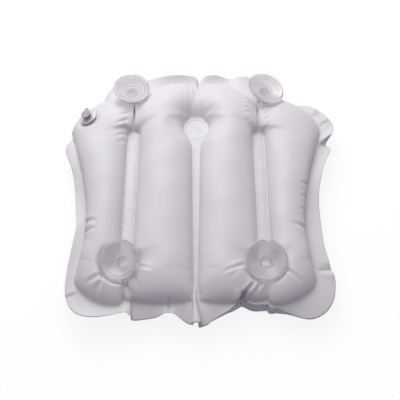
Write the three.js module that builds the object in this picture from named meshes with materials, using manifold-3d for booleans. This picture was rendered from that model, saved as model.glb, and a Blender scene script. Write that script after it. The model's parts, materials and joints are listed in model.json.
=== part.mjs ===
// Inflatable bath pillow: two welded vinyl sheets, four suction cups and an inflation valve.
// Millimetres. The pillow lies on its front: +X to the right, +Y to its top edge, +Z out of its back.
import * as THREE from 'three';
import { mergeVertices } from 'three/addons/utils/BufferGeometryUtils.js';
import Module from 'manifold-3d';

const wasm = await Module();
wasm.setup();

// Vinyl body: overall length over the flange, and half widths between the welds at the sides
const SHEET = 0.5;
const WELD_GAP = 0.3;
const LENGTH = 342;
const FLANGE = 14;
const SHOULDER_HALF = 160;
const WAIST_HALF = 130;
const HIP_HALF = 138;
const SHOULDER_DROP = 70;
const SHOULDER_CURVE = 2.8;
const HIP_RISE = 30;
const HIP_CURVE = 6;
const SHOULDER_SPREAD = 1.6;
const HIP_SPREAD = 2;

// Distances in from the pillow's top and bottom edges
const SHOULDER_INSET = 86;
const HIP_INSET = 53;
const WAIST_INSET = 126;
const TOP_NOTCH_INSET = 48;
const TOP_DIP_INSET = 20;
const BOTTOM_NOTCH_INSET = 29;

// Air tubes: depth of the crowns, rounding of the ends, and how far the ends swell past the notches
const INNER_DEPTH = 21;
const OUTER_DEPTH = 19;
const TOP_ROUND = 50;
const BOTTOM_ROUND = 40;
const INNER_TOP_SWELL = 24;
const OUTER_TOP_SWELL = 31;
const INNER_BOTTOM_SWELL = 6;
const OUTER_BOTTOM_SWELL = 16;
const PASSAGE_DEPTH = 9;
const CREASE = 2;

// Side welds: a bar with a round end below, which carries a cup, and an air passage at each end
const SEAM_X = 80;
const SEAM_BAR = 16;
const SEAM_TOP_PASSAGE = 35;
const SEAM_DISC_INSET = 72.5;
const SEAM_DISC_RADIUS = 18;

// Centre weld: a bar up from the bottom with a round end above
const CENTRE_BAR = 11.6;
const CENTRE_DISC_INSET = 78;
const CENTRE_DISC_RADIUS = 16.8;
const CENTRE_VALLEY = 16;
const CENTRE_PASSAGE_DEPTH = 15;

// Suction cups
const CUP_RADIUS = 23.5;
const CUP_RISE = 23;
const CUP_LIP = 2.4;
const CUP_WALL = 1.6;
const CUP_CROWN = 10.5;
const CUP_NECK_DROP = 4.8;
const CUP_SHOULDER_RADIUS = 19;
const CUP_HOLLOW_RADIUS = 14;
const STUD_RADIUS = 4.5;
const STUD_CLEARANCE = 0.8;
const STUD_HEAD_RADIUS = 7;
const STUD_HEAD_HEIGHT = 4.4;
const STUD_HEAD_CLEARANCE = 3.4;
const STUD_HEAD_TIP_RADIUS = 4.2;
const STUD_HEAD_TIP_HEIGHT = 0.44;
const STUD_HEAD_WIDEST_HEIGHT = 2.42;
const STUD_HEAD_TOP_RADIUS = 6.3;
const CUP_TILT_DEGREES = 7;
const CUP_CLEARANCE = 2.8;
const UPPER_CUP_OUTSET = 6;
const UPPER_CUP_INSET = 29;
const UPPER_PAD_RADIUS = 14.5;
const CUP_STEPS = 28;
const STUD_HOLE_STEPS = 12;

// How far each cup leans from upright at rest, in degrees
const CUP_LEANS = {
  upper_left: { toward_bottom: -3, toward_right: 7 },
  upper_right: { toward_bottom: -3, toward_right: 14 },
  lower_left: { toward_bottom: 12, toward_right: -11 },
  lower_right: { toward_bottom: 13, toward_right: 5 },
};

// Inflation valve, on the left shoulder
const VALVE_SIDE_INSET = 22;
const VALVE_TOP_INSET = 70;
const VALVE_FLANGE_RADIUS = 11;
const VALVE_FLANGE_THICKNESS = 0.8;
const VALVE_GAP = 0.3;
const COLLAR_WALL = 1.4;
const COLLAR_TOP = 2;
const COLLAR_DEPTH = 7;
const STEM_RADIUS = 4.2;
const STEM_CLEARANCE = 0.4;
const STEM_BORE_RADIUS = 2.6;
const STEM_TOP = 6;
const STEM_TRAVEL = 7;
const STEM_LIP_WIDTH = 1.2;
const STEM_LIP_HEIGHT = 1;
const STEM_STOP_WIDTH = 1.4;
const STEM_STOP_HEIGHT = 1.2;
const PLUG_CAP_RADIUS = 6.5;
const PLUG_CAP_HEIGHT = 1.6;
const PLUG_CAP_BEVEL = 0.6;
const SPIGOT_ROOT_CLEARANCE = 0.5;
const SPIGOT_TAPER = 0.4;
const SPIGOT_LENGTH = 3.8;
const STRAP_WIDTH = 3.6;
const STRAP_THICKNESS = 1;
const STRAP_REACH = 8;
const FLAP_RADIUS = 3.6;
const FLAP_THICKNESS = 0.5;
const VALVE_STEPS = 20;

// Flange folds. Where: the edge, and the share of the way from its middle to its end.
// How far the free edge lifts and reaches out there, and the fold's spread, in flange widths.
const FLANGE_FOLDS = [
  { edge: 'bottom', at: -0.4, lift: -0.3, reach: -0.5, spread: 4 },
  { edge: 'bottom', at: -0.57, lift: 0.5, reach: -0.2, spread: 0.5 },
  { edge: 'bottom', at: -0.22, lift: 0.6, reach: -0.4, spread: 0.6 },
  { edge: 'bottom', at: 0.02, lift: -0.4, reach: 0.47, spread: 0.9 },
  { edge: 'bottom', at: 0.36, lift: 0.6, reach: -1, spread: 0.6 },
  { edge: 'bottom', at: 0.58, lift: -0.7, reach: -0.9, spread: 1.8 },
  { edge: 'bottom', at: 0.86, lift: -0.2, reach: 0, spread: 0.9 },
  { edge: 'top', at: -0.8, lift: -0.7, reach: 0, spread: 1.6 },
  { edge: 'top', at: -0.25, lift: 0.3, reach: 0.36, spread: 1.6 },
  { edge: 'top', at: 0, lift: -0.35, reach: -0.3, spread: 0.6 },
  { edge: 'top', at: 0.27, lift: 0.4, reach: 0.36, spread: 1.6 },
  { edge: 'left', at: -0.4, lift: 0.15, reach: -0.25, spread: 3 },
  { edge: 'left', at: 0.32, lift: 0.3, reach: 0.3, spread: 0.9 },
  { edge: 'right', at: -0.45, lift: 0.15, reach: 0.3, spread: 3 },
  { edge: 'right', at: 0.34, lift: 0.3, reach: 0.4, spread: 0.9 },
];

// How full the blown-up tubes are: 0.5 is round, less is fuller
const FULLNESS = 0.4;

// Fractions across a tube at which its sheet bends, from its inner weld to its outer weld
const INNER_BENDS = [-1, -0.9, -0.55, -0.18, 0.18, 0.55, 0.9, 1];
const OUTER_BENDS = [-1, -0.88, -0.32, 0.32, 0.88, 1];

// Shares of each stretch of a side weld at which the sheet has a row of points
const BOTTOM_PASSAGE_SHARES = [0.4];
const BAR_SHARES = [0, 0.42, 0.83, 1];
const TOP_PASSAGE_SHARES = [0.1, 0.5, 0.82, 0.96];
const CENTRE_PASSAGE_SHARES = [0.5];
const DISC_ROW = BOTTOM_PASSAGE_SHARES.length + 3;
const NECK_ROW = DISC_ROW + BAR_SHARES.length;

const EIGHTH_TURN = Math.SQRT1_2;
const UP = new THREE.Vector3(0, 0, 1);
const innerTube = {
  bends: INNER_BENDS,
  depth: INNER_DEPTH,
  crown: crownHeight(INNER_DEPTH, INNER_BENDS),
  topSwell: INNER_TOP_SWELL,
  bottomSwell: INNER_BOTTOM_SWELL,
};
const outerTube = {
  bends: OUTER_BENDS,
  depth: OUTER_DEPTH,
  crown: crownHeight(OUTER_DEPTH, OUTER_BENDS),
  topSwell: OUTER_TOP_SWELL,
  bottomSwell: OUTER_BOTTOM_SWELL,
};
const weldZ = innerTube.crown + SHEET + WELD_GAP / 2;
const topEdge = LENGTH / 2;
const bottomEdge = -LENGTH / 2;
const shoulderY = topEdge - SHOULDER_INSET;
const waistY = bottomEdge + WAIST_INSET;
const hipY = bottomEdge + HIP_INSET;
const topNotchY = topEdge - TOP_NOTCH_INSET;
const topDipY = topEdge - TOP_DIP_INSET;
const bottomNotchY = bottomEdge + BOTTOM_NOTCH_INSET;
const seamTopY = topNotchY - SEAM_TOP_PASSAGE;
const seamDiscY = bottomEdge + SEAM_DISC_INSET;
const centreDiscY = topEdge - CENTRE_DISC_INSET;
const upperCupX = SEAM_X + UPPER_CUP_OUTSET;
const upperCupY = topEdge - UPPER_CUP_INSET;

function lerp(from, to, share) {
  return from + (to - from) * share;
}

// Height of a unit arch over the fraction -1 to 1.
function arch(fraction) {
  return Math.max(0, 1 - fraction * fraction) ** FULLNESS;
}

// Height of the flat strip along a tube's crown, between its two middle bends.
function crownHeight(depth, bends) {
  return depth * arch(Math.min(...bends.map(Math.abs)));
}

// Half width of the welded outline at height y: widest at the shoulders, drawn in at the waist.
function sideHalf(y) {
  if (y > waistY) {
    const rise = (y - waistY) / (shoulderY - waistY);
    return lerp(WAIST_HALF, SHOULDER_HALF, rise ** SHOULDER_SPREAD);
  }
  const drop = (waistY - y) / (waistY - hipY);
  return lerp(WAIST_HALF, HIP_HALF, drop ** HIP_SPREAD);
}

// A weld row's half width is the crease where the weld leaves a passage; its lift is the crease's height.
function weldRow({ y, half = CREASE / 2, passage = 0, depth = PASSAGE_DEPTH }) {
  return { y, half, lift: depth * arch(2 * passage - 1) };
}

function passageRows(from, to, shares, shape = {}) {
  return shares.map((share) => ({ ...shape, y: lerp(from, to, share), passage: share }));
}

// Rows across a round weld, an eighth of a turn below its middle, at its middle and an eighth above.
function discRows(y, radius) {
  const step = radius * EIGHTH_TURN;
  return [{ y: y - step, half: step }, { y, half: radius }, { y: y + step, half: step }];
}

// Rows along a side weld, from the bottom notch to the top notch.
const seamDiscTop = seamDiscY + SEAM_DISC_RADIUS;
const seamDiscBottom = seamDiscY - SEAM_DISC_RADIUS;
const seamRows = [
  { y: bottomNotchY },
  ...passageRows(bottomNotchY, seamDiscBottom, BOTTOM_PASSAGE_SHARES),
  { y: seamDiscBottom },
  ...discRows(seamDiscY, SEAM_DISC_RADIUS),
  ...BAR_SHARES.map((share) => ({ y: lerp(seamDiscTop, seamTopY, share), half: SEAM_BAR / 2 })),
  ...passageRows(seamTopY, topNotchY, TOP_PASSAGE_SHARES),
  { y: topNotchY },
].map(weldRow);
const LAST = seamRows.length - 1;

// Rows along the centre weld: its bar keeps pace with the side welds, then come its round end and a passage.
const centreDiscTop = centreDiscY + CENTRE_DISC_RADIUS;
const centreNeckY = centreDiscY - CENTRE_DISC_RADIUS - CENTRE_BAR;
const centreRows = [
  ...seamRows.slice(0, NECK_ROW + 1).map((row) => {
    const share = (row.y - bottomNotchY) / (seamRows[NECK_ROW].y - bottomNotchY);
    return { y: lerp(bottomNotchY, centreNeckY, share), half: CENTRE_BAR / 2 };
  }),
  ...discRows(centreDiscY, CENTRE_DISC_RADIUS),
  { y: centreDiscTop },
  ...passageRows(
    centreDiscTop,
    topDipY,
    CENTRE_PASSAGE_SHARES,
    { half: CENTRE_VALLEY / 2, depth: CENTRE_PASSAGE_DEPTH },
  ),
  { y: topDipY },
].map(weldRow);

// Rows along the outer weld, from hip to shoulder.
const sideRows = seamRows.map((row) => {
  const share = (row.y - bottomNotchY) / (topNotchY - bottomNotchY);
  const y = lerp(hipY, shoulderY, share);
  return { x: sideHalf(y), y, lift: 0 };
});

// Where each cup stands, on the half of the sheet that is made and mirrored, and how it leans there.
const cupSeats = Object.entries(CUP_LEANS).map(([place, lean]) => {
  const lower = place.startsWith('lower');
  return {
    x: lower ? SEAM_X : upperCupX,
    y: lower ? seamDiscY : upperCupY,
    radius: lower ? SEAM_DISC_RADIUS : UPPER_PAD_RADIUS,
    toBottom: lean.toward_bottom,
    outward: place.endsWith('right') ? lean.toward_right : -lean.toward_right,
  };
});

// Greatest height of the sheet near the cups: a slope under each lip, as low as it tilts on that side.
function hollowLimit(x, y) {
  return Math.min(...cupSeats.map((seat) => {
    const across = x - seat.x;
    const up = y - seat.y;
    const distance = Math.max(seat.radius, Math.hypot(across, up));
    const tilt = seat.outward * across - seat.toBottom * up + CUP_TILT_DEGREES * Math.abs(up);
    const fall = THREE.MathUtils.degToRad(tilt / distance);
    const lipLow = CUP_RISE * Math.cos(fall) - CUP_RADIUS * Math.sin(fall) - CUP_CLEARANCE;
    const lipReach = CUP_RADIUS * Math.cos(fall) + CUP_RISE * Math.sin(fall);
    const slope = lipLow / Math.max(CUP_LIP, lipReach - seat.radius);
    return slope * (distance - seat.radius);
  }));
}

// One column of sheet points along a tube, at a fraction across from weld a to weld b.
function tubeColumn(a, b, fraction, tube) {
  const share = (fraction + 1) / 2;
  const yAt = (row) => {
    const topPull = Math.max(0, (row - NECK_ROW) / (LAST - NECK_ROW)) ** 2;
    const bottomPull = Math.max(0, (DISC_ROW - row) / DISC_ROW) ** 2;
    const swelling = tube.topSwell * topPull - tube.bottomSwell * bottomPull;
    return lerp(a[row].y, b[row].y, share) + swelling * arch(fraction);
  };
  return a.map((start, row) => {
    const x = lerp(start.x, b[row].x, share);
    const y = yAt(row);
    const fromBottom = Math.min(1, (y - yAt(0)) / BOTTOM_ROUND);
    const fromTop = Math.min(1, (yAt(LAST) - y) / TOP_ROUND);
    const ends = arch(1 - fromBottom) * arch(1 - fromTop);
    const edge = lerp(start.lift, b[row].lift, share);
    const full = edge + Math.max(0, tube.depth * ends - edge) * arch(fraction);
    return new THREE.Vector3(x, y, Math.min(full, tube.crown, hollowLimit(x, y)));
  });
}

// Right half of a sheet, column by column from the centre weld out; then mirrored to the whole.
function sheetColumns() {
  const centreEdge = centreRows.map(({ y, half, lift }) => ({ x: half, y, lift }));
  const seamInner = seamRows.map(({ y, half, lift }) => ({ x: SEAM_X - half, y, lift }));
  const seamOuter = seamRows.map(({ y, half, lift }) => ({ x: SEAM_X + half, y, lift }));
  const inner = innerTube.bends.map((bend) => tubeColumn(centreEdge, seamInner, bend, innerTube));
  const outer = outerTube.bends.map((bend) => tubeColumn(seamOuter, sideRows, bend, outerTube));
  const right = inner.concat(outer);
  const left = right.map((column) => column.map((p) => new THREE.Vector3(-p.x, p.y, p.z)));
  return left.reverse().concat(right);
}

const columns = sheetColumns();
const COLUMN_COUNT = columns.length;
const ROW_COUNT = LAST + 1;

// The welded outline as column and row numbers, once round from the bottom left corner.
function outlineLoop() {
  const loop = [];
  for (let c = 0; c < COLUMN_COUNT; c += 1) loop.push({ c, r: 0, edge: 'bottom' });
  for (let r = 1; r < LAST; r += 1) loop.push({ c: COLUMN_COUNT - 1, r, edge: 'right' });
  for (let c = COLUMN_COUNT - 1; c >= 0; c -= 1) loop.push({ c, r: LAST, edge: 'top' });
  for (let r = LAST - 1; r > 0; r -= 1) loop.push({ c: 0, r, edge: 'left' });
  return loop;
}

const loop = outlineLoop();

const edgeHalf = { bottom: HIP_HALF, top: SHOULDER_HALF, left: topEdge, right: topEdge };

// Lift and reach of the flange's free edge: the sum of the folds on that edge.
function foldShape(edge, along) {
  const shape = { lift: 0, reach: 0 };
  FLANGE_FOLDS.filter((fold) => fold.edge === edge).forEach((fold) => {
    const offset = (along - fold.at * edgeHalf[edge]) / (fold.spread * FLANGE);
    const weight = FLANGE * Math.exp(-offset * offset);
    shape.lift += fold.lift * weight;
    shape.reach += fold.reach * weight;
  });
  return shape;
}

// Free edge of the flange opposite one point of the welded outline.
function flangePoint({ c, r, edge }) {
  const weld = columns[c][r];
  if (edge === 'left' || edge === 'right') {
    const { lift, reach } = foldShape(edge, weld.y);
    return new THREE.Vector3(weld.x + Math.sign(weld.x) * (FLANGE + reach), weld.y, lift);
  }
  const top = edge === 'top';
  const { lift, reach } = foldShape(edge, weld.x);
  const half = edgeHalf[edge] + FLANGE;
  const x = weld.x * (half - FLANGE / 3) / (half - FLANGE);
  const share = Math.abs(x) / half;
  const y = top
    ? topEdge + reach - SHOULDER_DROP * share ** SHOULDER_CURVE
    : bottomEdge - reach + HIP_RISE * share ** HIP_CURVE;
  return new THREE.Vector3(x, y, lift);
}

const flangeEdge = loop.map(flangePoint);

// Outward direction of the sheet at a grid point, from its neighbours; welds keep their thickness upright.
function sheetNormal(c, r) {
  const left = columns[Math.max(0, c - 1)][r];
  const right = columns[Math.min(COLUMN_COUNT - 1, c + 1)][r];
  const below = columns[c][Math.max(0, r - 1)];
  const above = columns[c][Math.min(LAST, r + 1)];
  const across = new THREE.Vector3().subVectors(right, left).normalize();
  const along = new THREE.Vector3().subVectors(above, below).normalize();
  const normal = across.cross(along).normalize();
  const onOutline = c === 0 || r === 0 || c === COLUMN_COUNT - 1 || r === LAST;
  if (onOutline) normal.add(UP).normalize();
  const onWeld = columns[c][r].z === 0;
  return onWeld ? normal.divideScalar(Math.max(normal.z, EIGHTH_TURN)) : normal;
}

const normals = columns.map((column, c) => column.map((point, r) => sheetNormal(c, r)));

// All points of a sheet's surface, pushed out by an offset: first the grid, then the flange's free edge.
// Heights are measured outward from the weld, so a fold that lifts the back sheet sinks the front one.
function surface(offset, side) {
  const grid = columns.flatMap((column, c) => column.map(
    (point, r) => point.clone().addScaledVector(normals[c][r], offset),
  ));
  const edge = flangeEdge.map((point) => new THREE.Vector3(point.x, point.y, side * point.z + offset));
  return grid.concat(edge);
}

// Triangles of one surface, wound to face +Z, with diagonals mirrored about the centre line.
function surfaceTriangles() {
  const at = (c, r) => c * ROW_COUNT + r;
  const triangles = [];
  const quad = (a, b, c, d, turned) => {
    if (turned) triangles.push(a, b, d, b, c, d);
    else triangles.push(a, b, c, a, c, d);
  };
  for (let c = 0; c + 1 < COLUMN_COUNT; c += 1) {
    for (let r = 0; r < LAST; r += 1) {
      quad(at(c, r), at(c + 1, r), at(c + 1, r + 1), at(c, r + 1), c >= COLUMN_COUNT / 2);
    }
  }
  const edgeStart = COLUMN_COUNT * ROW_COUNT;
  loop.forEach((point, i) => {
    const next = (i + 1) % loop.length;
    const here = at(point.c, point.r);
    const there = at(loop[next].c, loop[next].r);
    quad(here, edgeStart + i, edgeStart + next, there, flangeEdge[i].x > 0);
  });
  return triangles;
}

// Closed body between an upper and a lower copy of the surface; side 1 faces the back, -1 the front.
function slab(upper, lower, side) {
  const count = upper.length;
  const place = (points) => points.flatMap((p) => [p.x, p.y, weldZ + side * (WELD_GAP / 2 + SHEET + p.z)]);
  const positions = place(upper).concat(place(lower));
  const top = surfaceTriangles();
  const triangles = [...top];
  for (let i = 0; i < top.length; i += 3) {
    triangles.push(top[i] + count, top[i + 2] + count, top[i + 1] + count);
  }
  const edgeStart = COLUMN_COUNT * ROW_COUNT;
  loop.forEach((point, i) => {
    const here = edgeStart + i;
    const next = edgeStart + ((i + 1) % loop.length);
    triangles.push(here, here + count, next + count, here, next + count, next);
  });
  if (side < 0) triangles.reverse();
  const geometry = new THREE.BufferGeometry();
  geometry.setAttribute('position', new THREE.Float32BufferAttribute(positions, 3));
  geometry.setIndex(triangles);
  return geometry;
}

// Vinyl sheet, and the space that a sheet and all under it fills out to a clearance above it.
function sheetGeometry(side) {
  return slab(surface(0, side), surface(-SHEET, side), side);
}

function filledTo(clearance) {
  const under = surface(0, 1).map((p) => new THREE.Vector3(p.x, p.y, -INNER_DEPTH));
  return slab(surface(clearance, 1), under, 1);
}

// Joining and cutting of closed meshes
function solidOf(geometry, matrix) {
  const bare = geometry.clone();
  bare.deleteAttribute('normal');
  bare.deleteAttribute('uv');
  if (matrix) bare.applyMatrix4(matrix);
  const merged = mergeVertices(bare, 1e-4);
  return new wasm.Manifold(new wasm.Mesh({
    numProp: 3,
    vertProperties: new Float32Array(merged.attributes.position.array),
    triVerts: new Uint32Array(merged.index.array),
  }));
}

function geometryOf(solid) {
  const mesh = solid.getMesh();
  const geometry = new THREE.BufferGeometry();
  geometry.setAttribute('position', new THREE.Float32BufferAttribute(mesh.vertProperties, 3));
  geometry.setIndex(Array.from(mesh.triVerts));
  return geometry;
}

// Round pieces about +Z
function turned(profile, steps) {
  const points = profile.map(([radius, z]) => new THREE.Vector2(radius, z));
  return new THREE.LatheGeometry(points, steps).rotateX(Math.PI / 2);
}

function rod(radius, from, to, steps = VALVE_STEPS) {
  return turned([[0, from], [radius, from], [radius, to], [0, to]], steps);
}

function block(x, y, from, to) {
  const depth = y[1] - y[0];
  const geometry = new THREE.BoxGeometry(x, depth, to - from);
  return geometry.translate(0, y[0] + depth / 2, (from + to) / 2);
}

// Colours and finishes
function finish(colour, roughness, opacity = 1) {
  return new THREE.MeshStandardMaterial({
    color: colour, roughness, metalness: 0, transparent: opacity < 1, opacity,
  });
}

const vinyl = () => finish(0xe9e8ee, 0.42);
const clearVinyl = () => finish(0xd8dadd, 0.15, 0.45);
const valveVinyl = () => finish(0x8f9094, 0.4);

function named(name, geometry, material) {
  geometry.computeVertexNormals();
  const mesh = new THREE.Mesh(geometry, material);
  mesh.name = name;
  return mesh;
}

// Suction cup about its stud hole: head under the sheets, stud through them, bell above.
const studHeadTop = -(WELD_GAP / 2 + SHEET + STUD_HEAD_CLEARANCE);
const studHeadBottom = studHeadTop - STUD_HEAD_HEIGHT;
const bellFoot = CUP_CROWN - CUP_NECK_DROP;

function cupProfile() {
  const outer = new THREE.CubicBezierCurve(
    new THREE.Vector2(STUD_RADIUS, bellFoot),
    new THREE.Vector2(STUD_RADIUS + CUP_WALL, CUP_CROWN + CUP_WALL),
    new THREE.Vector2(CUP_SHOULDER_RADIUS, CUP_CROWN),
    new THREE.Vector2(CUP_RADIUS, CUP_RISE - CUP_WALL / 2),
  );
  const inner = new THREE.CubicBezierCurve(
    new THREE.Vector2(CUP_RADIUS - CUP_LIP, CUP_RISE),
    new THREE.Vector2(CUP_RADIUS - CUP_LIP * 2, CUP_RISE - CUP_WALL),
    new THREE.Vector2(CUP_HOLLOW_RADIUS, CUP_CROWN + CUP_WALL * 2),
    new THREE.Vector2(0, CUP_CROWN + CUP_WALL),
  );
  const head = [
    [0, studHeadBottom],
    [STUD_HEAD_TIP_RADIUS, studHeadBottom + STUD_HEAD_TIP_HEIGHT],
    [STUD_HEAD_RADIUS, studHeadBottom + STUD_HEAD_WIDEST_HEIGHT],
    [STUD_HEAD_TOP_RADIUS, studHeadTop],
    [STUD_RADIUS, studHeadTop],
  ];
  const asPairs = (curve, steps) => curve.getPoints(steps).map((p) => [p.x, p.y]);
  return [...head, ...asPairs(outer, 6), [CUP_RADIUS, CUP_RISE], ...asPairs(inner, 5)];
}

const cupPlaces = {
  upper_left: [-upperCupX, upperCupY],
  upper_right: [upperCupX, upperCupY],
  lower_left: [-SEAM_X, seamDiscY],
  lower_right: [SEAM_X, seamDiscY],
};

function suctionCup(place) {
  const lean = CUP_LEANS[place];
  const [x, y] = cupPlaces[place];
  const cup = named(`suction_cup_${place}`, turned(cupProfile(), CUP_STEPS), clearVinyl());
  cup.position.set(x, y, weldZ);
  cup.rotation.set(
    THREE.MathUtils.degToRad(lean.toward_bottom),
    THREE.MathUtils.degToRad(lean.toward_right),
    0,
  );
  return cup;
}

// Valve: its axis stands square to the back sheet where a plumb line meets it.
const backSheet = sheetGeometry(1);

function valveFrame() {
  const target = new THREE.Mesh(backSheet, vinyl());
  const above = new THREE.Vector3(VALVE_SIDE_INSET - SHOULDER_HALF, topEdge - VALVE_TOP_INSET, LENGTH);
  const hit = new THREE.Raycaster(above, UP.clone().negate()).intersectObject(target)[0];
  const turn = new THREE.Quaternion().setFromUnitVectors(UP, hit.face.normal);
  return new THREE.Matrix4().compose(hit.point, turn, new THREE.Vector3(1, 1, 1));
}

const valveMatrix = valveFrame();
const collarBore = STEM_RADIUS + STEM_CLEARANCE;
const collarRadius = collarBore + COLLAR_WALL;
const lipBottom = COLLAR_TOP + VALVE_GAP;
const lipTop = lipBottom + STEM_LIP_HEIGHT;
const stopTop = -COLLAR_DEPTH - VALVE_GAP - STEM_TRAVEL;
const stemBottom = stopTop - STEM_STOP_HEIGHT;
const capBottom = STEM_TOP + VALVE_GAP;
const strapFoot = lipTop + VALVE_GAP / 2;

// Flange that follows the sheet, with the collar through the sheet's hole; made in place.
function valveBase() {
  const reach = INNER_DEPTH / 2;
  const disc = solidOf(rod(VALVE_FLANGE_RADIUS, -reach, reach), valveMatrix);
  const patch = disc
    .intersect(solidOf(filledTo(VALVE_GAP + VALVE_FLANGE_THICKNESS)))
    .subtract(solidOf(filledTo(VALVE_GAP)));
  const collar = solidOf(rod(collarRadius, -COLLAR_DEPTH, COLLAR_TOP), valveMatrix);
  const bore = solidOf(rod(collarBore, -reach, reach), valveMatrix);
  return named('valve_base', geometryOf(patch.add(collar).subtract(bore)), valveVinyl());
}

// Stem: a tube with a lip above the collar, a lug for the strap, and a stop ring inside.
function valveStem() {
  const tube = solidOf(rod(STEM_RADIUS, stemBottom, STEM_TOP));
  const lip = solidOf(rod(STEM_RADIUS + STEM_LIP_WIDTH, lipBottom, lipTop));
  const lug = solidOf(block(STRAP_WIDTH, [STEM_RADIUS, STRAP_REACH], lipBottom, lipTop));
  const stop = solidOf(rod(STEM_RADIUS + STEM_STOP_WIDTH, stemBottom, stopTop));
  const bore = solidOf(rod(STEM_BORE_RADIUS, stemBottom - 1, STEM_TOP + 1));
  const body = tube.add(lip).add(lug).add(stop).subtract(bore);
  return named('valve_stem', geometryOf(body), valveVinyl());
}

// Plug: a cap with a tapered spigot in the stem's bore, and the strap's leg down to the lug's end.
function valvePlug() {
  const spigotRoot = STEM_BORE_RADIUS - SPIGOT_ROOT_CLEARANCE;
  const capTop = capBottom + PLUG_CAP_HEIGHT;
  const cap = solidOf(turned([
    [0, capBottom - SPIGOT_LENGTH],
    [spigotRoot - SPIGOT_TAPER, capBottom - SPIGOT_LENGTH],
    [spigotRoot, capBottom],
    [PLUG_CAP_RADIUS, capBottom],
    [PLUG_CAP_RADIUS, capTop - PLUG_CAP_BEVEL],
    [PLUG_CAP_RADIUS - PLUG_CAP_BEVEL, capTop],
    [0, capTop],
  ], VALVE_STEPS));
  const legStart = STRAP_REACH + VALVE_GAP;
  const legEnd = legStart + STRAP_THICKNESS;
  const armTop = capBottom + STRAP_THICKNESS;
  const arm = solidOf(block(STRAP_WIDTH, [spigotRoot, legEnd], capBottom, armTop));
  const leg = solidOf(block(STRAP_WIDTH, [legStart, legEnd], strapFoot, armTop));
  return named('valve_plug', geometryOf(cap.add(arm).add(leg)), valveVinyl());
}

// One-way flap just under the stem's inner end.
function valveFlap() {
  const flapTop = stemBottom - VALVE_GAP;
  return named('valve_flap', rod(FLAP_RADIUS, flapTop - FLAP_THICKNESS, flapTop), valveVinyl());
}

// Panels with their holes
function panel(name, geometry, side) {
  const half = INNER_DEPTH / 2;
  const holes = Object.values(cupPlaces).map(([x, y]) => solidOf(
    rod(STUD_RADIUS + STUD_CLEARANCE, weldZ - half, weldZ + half, STUD_HOLE_STEPS),
    new THREE.Matrix4().makeTranslation(x, y, 0),
  ));
  if (side > 0) {
    holes.push(solidOf(rod(collarRadius + VALVE_GAP, -half / 2, half / 2), valveMatrix));
  }
  const cut = holes.reduce((body, hole) => body.subtract(hole), solidOf(geometry));
  return named(name, geometryOf(cut), vinyl());
}

const pillow = new THREE.Group();
pillow.add(panel('back_panel', backSheet, 1));
pillow.add(panel('front_panel', sheetGeometry(-1), -1));
Object.keys(cupPlaces).forEach((place) => pillow.add(suctionCup(place)));
pillow.add(valveBase());

const valve = new THREE.Group();
valve.applyMatrix4(valveMatrix);
valve.add(valveStem(), valvePlug(), valveFlap());
pillow.add(valve);

export default pillow;
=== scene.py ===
"""Looks of an inflatable vinyl bath pillow that lies on its front, with its suction cups up.

Sizes are in millimetres until a mesh is made. Blender's frame is in metres, the same as the CAD part's:
+X to the right seen from the back, +Y to the pillow's top edge, +Z out of its back.
"""

import json
import math

import bmesh
import bpy
import numpy as np
from mathutils import Matrix, Vector


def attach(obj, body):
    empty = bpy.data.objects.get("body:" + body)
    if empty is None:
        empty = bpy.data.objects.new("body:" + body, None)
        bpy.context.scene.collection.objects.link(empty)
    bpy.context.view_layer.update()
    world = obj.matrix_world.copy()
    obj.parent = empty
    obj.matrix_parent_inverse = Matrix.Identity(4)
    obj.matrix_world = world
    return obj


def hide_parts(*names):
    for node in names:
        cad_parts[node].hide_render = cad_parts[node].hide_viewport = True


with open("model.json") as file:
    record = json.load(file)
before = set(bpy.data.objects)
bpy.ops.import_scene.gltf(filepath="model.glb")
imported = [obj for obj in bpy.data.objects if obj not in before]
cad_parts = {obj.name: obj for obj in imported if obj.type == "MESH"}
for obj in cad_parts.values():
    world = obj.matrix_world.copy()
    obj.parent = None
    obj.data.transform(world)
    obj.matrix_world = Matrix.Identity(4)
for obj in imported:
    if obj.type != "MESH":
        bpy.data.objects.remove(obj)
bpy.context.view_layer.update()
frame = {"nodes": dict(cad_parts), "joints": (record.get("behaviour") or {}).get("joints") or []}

MM = 0.001

# Vinyl body, as in the CAD part
SHEET = 0.5
WELD_GAP = 0.3
WELD_Z = 21.375
SHEET_TOP = WELD_Z + WELD_GAP / 2 + SHEET
SHOULDER_Y, SHOULDER_HALF, SHOULDER_SPREAD = 85, 160, 1.6
WAIST_Y, WAIST_HALF = -45, 130
HIP_Y, HIP_HALF, HIP_SPREAD = -118, 138, 2
TOP_NOTCH_Y, TOP_DIP_Y, BOTTOM_NOTCH_Y = 123, 151, -142
INNER_DEPTH, OUTER_DEPTH, FULLNESS, FLANK_FULLNESS = 21, 19, 0.45, 0.3
TOP_ROUND, BOTTOM_ROUND = 50, 40
INNER_TOP_SWELL, OUTER_TOP_SWELL = 24, 31
INNER_BOTTOM_SWELL, OUTER_BOTTOM_SWELL = 6, 16
TOP_SWELL_FROM, BOTTOM_SWELL_TO = 0.76, 0.164
PASSAGE_DEPTH, CENTRE_PASSAGE_DEPTH, CREASE_HALF = 9, 11, 1
TOP_PASSAGE_STEEPNESS, CENTRE_PASSAGE_STEEPNESS = 1.6, 2

# Welds between the tubes. A sheet that lifts less than WELD_TOUCH over a weld is held by it.
SEAM_X, SEAM_HALF, SEAM_TOP_Y, SEAM_END_LENGTH = 80, 8, 88, 4
SEAM_DISC_Y, SEAM_DISC_RADIUS = -98.5, 14.5
CENTRE_HALF, CENTRE_FOOT_HALF, CENTRE_NECK_Y = 5.8, 2.5, 64.6
CENTRE_DISC_Y, CENTRE_DISC_RADIUS = 93, 16.8
CENTRE_VALLEY_HALF, VALLEY_LENGTH, VALLEY_FULLNESS = 10.5, 44, 0.95
VALLEY_START_Y, VALLEY_FULL_Y = 84, 112
WELD_TOUCH = 0.01

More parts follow.
